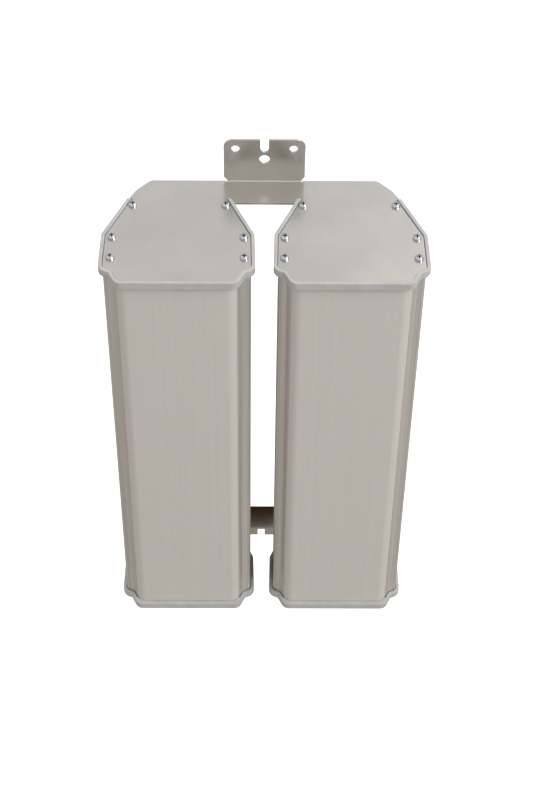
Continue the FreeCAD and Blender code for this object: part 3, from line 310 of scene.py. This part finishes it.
def solder_mask():
    """White solder mask over an aluminium-cored board."""
    base = colours().board
    finish = Finish("solder_mask", base, Roughness=0.35, Coat_Weight=0.3, Coat_Roughness=0.2)
    finish.vary_colour(finish.grain(140.0, 1.0, (1.0, 1.0, 0.08)), shade(base, 0.95), base)
    finish.vary_roughness(finish.grain(1200.0), 0.3, 0.42)
    finish.relief((finish.grain(420.0, 1.0, (1.0, 1.0, 0.08)), 0.00003))
    return finish.material


def phosphor():
    """Silicone filled with yellow phosphor."""
    base = colours().phosphor
    finish = Finish("phosphor", base, Roughness=0.3, Coat_Weight=0.5)
    finish.vary_colour(finish.grain(5200.0, 2.0), shade(base, 0.9), shade(base, 1.08))
    finish.vary_roughness(finish.grain(3000.0), 0.25, 0.4)
    finish.relief((finish.grain(6000.0), 0.000005))
    return finish.material


def insulation():
    """Soft insulation of a lead."""
    base = colours().lead
    finish = Finish("insulation", base, Roughness=0.4)
    finish.vary_colour(finish.grain(700.0, 3.0), shade(base, 0.85), shade(base, 1.1))
    finish.vary_roughness(finish.grain(1500.0), 0.32, 0.5)
    finish.relief((finish.grain(2600.0), 0.000006))
    return finish.material


def finishes():
    """Every slot's finish, made once."""
    if "satin_sheet" in bpy.data.materials:
        return FINISHES
    tint = colours()
    FINISHES.update({
        "bracket_sheet": satin_sheet(),
        "housing_aluminium": anodised_extrusion(),
        "opal_diffuser": opal_cover(),
        "seal_rubber": moulded("moulded_seal", tint.seal, 0.6),
        "zinc_screws": zinc_plate("zinc_plate", tint.screw),
        # painted shade: a dark copy of the zinc plate for the faces of the cross recesses
        "zinc_painted_recess_shade": zinc_plate("zinc_painted_recess_shade", tint.recess),
        "board_white": solder_mask(),
        "led_phosphor": phosphor(),
        "led_package": moulded("led_package", tint.package, 0.4, 0.000004),
        "connector_white": moulded("natural_nylon", tint.connector, 0.45),
        "driver_case": moulded("driver_case", tint.driver, 0.55, 0.00003, 2600.0),
        "terminal_plastic": moulded("terminal_polyamide", tint.terminal, 0.5),
        "lead_insulation": insulation(),
        "gland_plastic": moulded("gland_polyamide", tint.gland, 0.5),
        "gland_rubber": moulded("gland_rubber", tint.rubber, 0.7),
    })
    return FINISHES


FINISHES = {}


# ---------------------------------------------------------------- pieces

def merged_copy(node):
    """A node's mesh as one connected shell, with its flat faces joined."""
    mesh = bmesh.new()
    mesh.from_mesh(frame["nodes"][node].data)
    bmesh.ops.remove_doubles(mesh, verts=mesh.verts, dist=SAME_PLACE)
    bmesh.ops.dissolve_limit(mesh, angle_limit=FLAT_ANGLE, use_dissolve_boundaries=False,
                             verts=mesh.verts, edges=mesh.edges, delimit=set())
    return mesh


def sharp_edges(mesh, turn=25.0):
    """The edges where two faces meet at an outward corner."""
    return [edge for edge in mesh.edges
            if len(edge.link_faces) == 2 and edge.is_convex and edge.calc_face_angle() > math.radians(turn)]


def soften(mesh, edges, width, segments=2, clamp=False):
    """Round edges off, and narrower where they would run into each other if clamp is set."""
    bmesh.ops.bevel(mesh, geom=edges, offset=width, offset_type="OFFSET", segments=segments, profile=0.5,
                    affect="EDGES", clamp_overlap=clamp, material=-1)


def dress(obj, slot):
    """Give a CAD node its finish."""
    obj.data.materials.clear()
    obj.data.materials.append(finishes()[slot])


def make_piece(name, mesh, node, extra_finishes=(), smooth_turn=30.0):
    """Turn a bmesh into a piece that stands for a CAD node."""
    data = bpy.data.meshes.new(name)
    mesh.to_mesh(data)
    mesh.free()
    piece = bpy.data.objects.new(name, data)
    bpy.context.scene.collection.objects.link(piece)
    slot = SLOT_OF[node]
    for finish in (slot, *extra_finishes):
        data.materials.append(finishes()[finish])
    data.shade_smooth()
    data.set_sharp_from_angle(angle=math.radians(smooth_turn))
    weighted = piece.modifiers.new("even_shading", "WEIGHTED_NORMAL")
    weighted.keep_sharp = True
    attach(piece, BODY)
    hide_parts(node)
    return piece


def along_z(edge):
    """Whether an edge runs upright."""
    first, last = (corner.co for corner in edge.verts)
    return (first - last).xy.length < SAME_PLACE


class LuminaireOperator:
    """What every operator of this file shares."""

    bl_options = {"REGISTER", "UNDO"}

    @classmethod
    def poll(cls, context):
        return bool(frame["nodes"])


class LUMINAIRE_OT_brackets(LuminaireOperator, bpy.types.Operator):
    """Make the two folded brackets with broken edges"""

    bl_idname = "luminaire.brackets"
    bl_label = "Brackets"

    def execute(self, context):
        for end in ENDS:
            mesh = merged_copy(f"{end}_bracket")
            soften(mesh, sharp_edges(mesh), sizes().sheet_edge)
            make_piece(f"{end}_bracket_sheet", mesh, f"{end}_bracket")
        return {"FINISHED"}


class LUMINAIRE_OT_housings(LuminaireOperator, bpy.types.Operator):
    """Make the two extruded housings with rounded long edges"""

    bl_idname = "luminaire.housings"
    bl_label = "Housings"

    def execute(self, context):
        for side in SIDES:
            mesh = merged_copy(f"{side}_housing")
            soften(mesh, [edge for edge in sharp_edges(mesh) if along_z(edge)], sizes().housing_edge)
            make_piece(f"{side}_housing_extrusion", mesh, f"{side}_housing")
        return {"FINISHED"}


class LUMINAIRE_OT_diffusers(LuminaireOperator, bpy.types.Operator):
    """Make the two opal covers with rounded long edges"""

    bl_idname = "luminaire.diffusers"
    bl_label = "Diffusers"

    def execute(self, context):
        for side in SIDES:
            mesh = merged_copy(f"{side}_diffuser")
            soften(mesh, [edge for edge in sharp_edges(mesh) if along_z(edge)], sizes().diffuser_edge, 3)
            make_piece(f"{side}_opal_cover", mesh, f"{side}_diffuser")
        return {"FINISHED"}


class LUMINAIRE_OT_end_seals(LuminaireOperator, bpy.types.Operator):
    """Make the four moulded end seals with soft edges"""

    bl_idname = "luminaire.end_seals"
    bl_label = "End seals"

    def execute(self, context):
        for side in SIDES:
            for end in ENDS:
                node = f"{side}_{end}_end_seal"
                mesh = merged_copy(node)
                soften(mesh, sharp_edges(mesh), sizes().seal_edge, 3)
                make_piece(f"{node}_moulding", mesh, node)
        return {"FINISHED"}


def screw_parts(mesh):
    """The connected shells of a mesh, one for each screw."""
    waiting = set(mesh.verts)
    while waiting:
        shell = {waiting.pop()}
        growing = list(shell)
        while growing:
            corner = growing.pop()
            for edge in corner.link_edges:
                other = edge.other_vert(corner)
                if other in waiting:
                    waiting.discard(other)
                    shell.add(other)
                    growing.append(other)
        yield shell


def taper_recess(mesh, screw, outward):
    """Slope the walls of one screw's cross recess, by drawing in the corners of its floor, and give the
    faces at its floor the dark zinc that paints the recess's shade.
    """
    top = max(corner.co.dot(outward) for corner in screw)
    middle = sum((corner.co for corner in screw), Vector()) / len(screw)
    floor = [corner for corner in screw
             if abs(top - corner.co.dot(outward) - sizes().recess_depth) < RECESS_LEVEL
             and (corner.co - middle).xy.length < RECESS_REACH * sizes().recess_span]
    if len(floor) != RECESS_CORNERS:
        raise RuntimeError(f"a screw's cross recess has {len(floor)} corners on its floor")
    middle.z = floor[0].co.z
    bmesh.ops.scale(mesh, vec=Vector.Fill(3, sizes().recess_taper), verts=floor,
                    space=Matrix.Translation(-middle))
    # painted shade: the recess's floor and the walls around it take the dark zinc
    for corner in floor:
        for face in corner.link_faces:
            face.material_index = 1


class LUMINAIRE_OT_end_screws(LuminaireOperator, bpy.types.Operator):
    """Make the pan-head screws of the four module ends, with sloping cross recesses in painted shade"""

    bl_idname = "luminaire.end_screws"
    bl_label = "End screws"

    def execute(self, context):
        for side in SIDES:
            for end, outward in zip(ENDS, (Vector((0, 0, 1)), Vector((0, 0, -1)))):
                node = f"{side}_{end}_end_screws"
                mesh = merged_copy(node)
                for screw in screw_parts(mesh):
                    taper_recess(mesh, screw, outward)
                soften(mesh, sharp_edges(mesh, 40.0), sizes().screw_edge)
                # the second finish is the painted shade of the cross recesses
                make_piece(f"{node}_zinc", mesh, node, ("zinc_painted_recess_shade",))
        return {"FINISHED"}


class LUMINAIRE_OT_glands(LuminaireOperator, bpy.types.Operator):
    """Make the cable glands' nuts, bodies, bushes and flat seals with rounded edges"""

    bl_idname = "luminaire.glands"
    bl_label = "Cable glands"

    def execute(self, context):
        for side in SIDES:
            for part in GLAND_PARTS:
                node = f"{side}_gland_{part}"
                mesh = merged_copy(node)
                soften(mesh, sharp_edges(mesh), sizes().gland_edge, clamp=part == "cap_nut")
                make_piece(f"{node}_moulding", mesh, node)
        return {"FINISHED"}


class LUMINAIRE_OT_leds(LuminaireOperator, bpy.types.Operator):
    """Make the LED packages, each with a sunk bed of phosphor in its front"""

    bl_idname = "luminaire.leds"
    bl_label = "LEDs"

    def execute(self, context):
        for side in SIDES:
            node = f"{side}_leds"
            mesh = merged_copy(node)
            fronts = [face for face in mesh.faces if face.normal.y < -0.99]
            bmesh.ops.inset_individual(mesh, faces=fronts, thickness=sizes().led_rim, depth=0.0)
            bmesh.ops.inset_individual(mesh, faces=fronts, thickness=sizes().led_well,
                                       depth=-sizes().led_well)
            for face in mesh.faces:
                face.material_index = 1
            for face in fronts:
                face.material_index = 0
            make_piece(f"{node}_packages", mesh, node, ("led_package",))
        return {"FINISHED"}


class LUMINAIRE_OT_inner_parts(LuminaireOperator, bpy.types.Operator):
    """Give every CAD node its finish, which those without a finished piece keep"""

    bl_idname = "luminaire.inner_parts"
    bl_label = "Inner parts"

    def execute(self, context):
        for node, obj in frame["nodes"].items():
            dress(obj, SLOT_OF[node])
        return {"FINISHED"}


class LUMINAIRE_OT_stage(LuminaireOperator, bpy.types.Operator):
    """Lay the floor, hang the lights and set up the camera"""

    bl_idname = "luminaire.stage"
    bl_label = "Stage"

    def execute(self, context):
        setup = context.scene.luminaire_camera
        make_floor(setup.floor_drop)
        make_cards()
        make_daylight(setup.sky, setup.horizon, setup.ground)
        for name, place, aim, width, power in LIGHTS:
            make_soft_light(name, Vector(place), Vector(aim), width, power)
        make_camera(setup)
        context.scene.view_settings.view_transform = "Standard"
        return {"FINISHED"}


def make_plate(name, width, height, matrix, material):
    """A flat rectangle of the stage."""
    mesh = bmesh.new()
    bmesh.ops.create_grid(mesh, x_segments=1, y_segments=1, size=0.5,
                          matrix=matrix @ Matrix.Diagonal((width, height, 1.0, 1.0)))
    data = bpy.data.meshes.new(name)
    mesh.to_mesh(data)
    mesh.free()
    plate = bpy.data.objects.new(name, data)
    bpy.context.scene.collection.objects.link(plate)
    data.materials.append(material)
    return plate


def make_floor(drop):
    """A plain pale floor under the luminaire, which lights nothing."""
    base = colours().floor
    finish = Finish("pale_floor", base, Roughness=0.9, Emission_Strength=0.5)
    finish.set("Emission Color", (*base, 1.0))
    finish.vary_colour(finish.grain(3.0, 2.0), shade(base, 0.99), base)
    level = Matrix.Translation((0.0, 0.0, GROUND - drop))
    floor = make_plate("floor", FLOOR_SIZE, FLOOR_SIZE, level, finish.material)
    floor.visible_diffuse = False
    floor.visible_glossy = False


def make_cards():
    """Dark cards which shade the gap by the lower bridge and aren't seen themselves."""
    base = bpy.context.scene.luminaire_camera.card
    finish = Finish("dark_card", base, Roughness=0.9)
    finish.vary_colour(finish.grain(60.0), shade(base, 0.9), base)
    for name, width, height, place, axis in CARDS:
        upright = Matrix.Rotation(math.pi / 2, 4, axis)
        card = make_plate(name, width, height, Matrix.Translation(place) @ upright, finish.material)
        card.visible_camera = False


def make_daylight(sky, horizon, ground):
    """Soft light from all round, which fades from straight above to straight below."""
    world = bpy.data.worlds.new("daylight")
    bpy.context.scene.world = world
    world.use_nodes = True
    nodes = world.node_tree.nodes
    links = world.node_tree.links
    direction = nodes.new("ShaderNodeTexCoord")
    parts = nodes.new("ShaderNodeSeparateXYZ")
    height = nodes.new("ShaderNodeMapRange")
    height.inputs["From Min"].default_value = -1.0
    fade = nodes.new("ShaderNodeValToRGB")
    low, high = fade.color_ramp.elements
    low.color = (*ground, 1.0)
    high.color = (*sky, 1.0)
    fade.color_ramp.elements.new(0.5).color = (*horizon, 1.0)
    links.new(direction.outputs["Generated"], parts.inputs["Vector"])
    links.new(parts.outputs["Z"], height.inputs["Value"])
    links.new(height.outputs["Result"], fade.inputs["Fac"])
    links.new(fade.outputs["Color"], nodes["Background"].inputs["Color"])


def make_soft_light(name, place, aim, width, power):
    """A square soft box that faces a point."""
    light = bpy.data.lights.new(name, "AREA")
    light.shape = "SQUARE"
    light.size = width
    light.energy = power
    lamp = bpy.data.objects.new(name, light)
    bpy.context.scene.collection.objects.link(lamp)
    lamp.location = place
    lamp.rotation_euler = (aim - place).to_track_quat("-Z", "Y").to_euler()


def make_camera(setup):
    """The camera, looking down on the front."""
    camera = bpy.data.cameras.new("camera")
    camera.sensor_fit = "VERTICAL"
    camera.sensor_height = 36.0
    camera.lens = setup.lens
    camera.clip_start = 0.01
    obj = bpy.data.objects.new("camera", camera)
    bpy.context.scene.collection.objects.link(obj)
    obj.matrix_world = (Matrix.Translation(setup.place) @ Matrix.Rotation(setup.turn, 4, "Z")
                        @ Matrix.Rotation(math.pi / 2 - setup.tilt, 4, "X")
                        @ Matrix.Rotation(setup.roll, 4, "Z"))
    bpy.context.scene.camera = obj


# ---------------------------------------------------------------- panel and registration

OPERATORS = (
    LUMINAIRE_OT_inner_parts,
    LUMINAIRE_OT_brackets,
    LUMINAIRE_OT_housings,
    LUMINAIRE_OT_diffusers,
    LUMINAIRE_OT_end_seals,
    LUMINAIRE_OT_end_screws,
    LUMINAIRE_OT_glands,
    LUMINAIRE_OT_leds,
    LUMINAIRE_OT_stage,
)


class LUMINAIRE_PT_panel(bpy.types.Panel):
    """The luminaire's pieces, one button each."""

    bl_label = "Luminaire"
    bl_idname = "LUMINAIRE_PT_panel"
    bl_space_type = "VIEW_3D"
    bl_region_type = "UI"
    bl_category = "Luminaire"

    def draw(self, context):
        for operator in OPERATORS:
            self.layout.operator(operator.bl_idname)


GROUPS = {
    "luminaire_sizes": LuminaireSizes,
    "luminaire_colours": LuminaireColours,
    "luminaire_camera": LuminaireCamera,
}
CLASSES = (*GROUPS.values(), *OPERATORS, LUMINAIRE_PT_panel)


def register():
    """Register the classes and hang the property groups on the scene."""
    for item in CLASSES:
        bpy.utils.register_class(item)
    for name, group in GROUPS.items():
        setattr(bpy.types.Scene, name, PointerProperty(type=group))


def unregister():
    """Undo register."""
    for name in GROUPS:
        delattr(bpy.types.Scene, name)
    for item in reversed(CLASSES):
        bpy.utils.unregister_class(item)


def main():
    """Build every piece and the stage."""
    register()
    for operator in OPERATORS:
        group, name = operator.bl_idname.split(".")
        getattr(getattr(bpy.ops, group), name)()


if __name__ == "__main__":
    main()
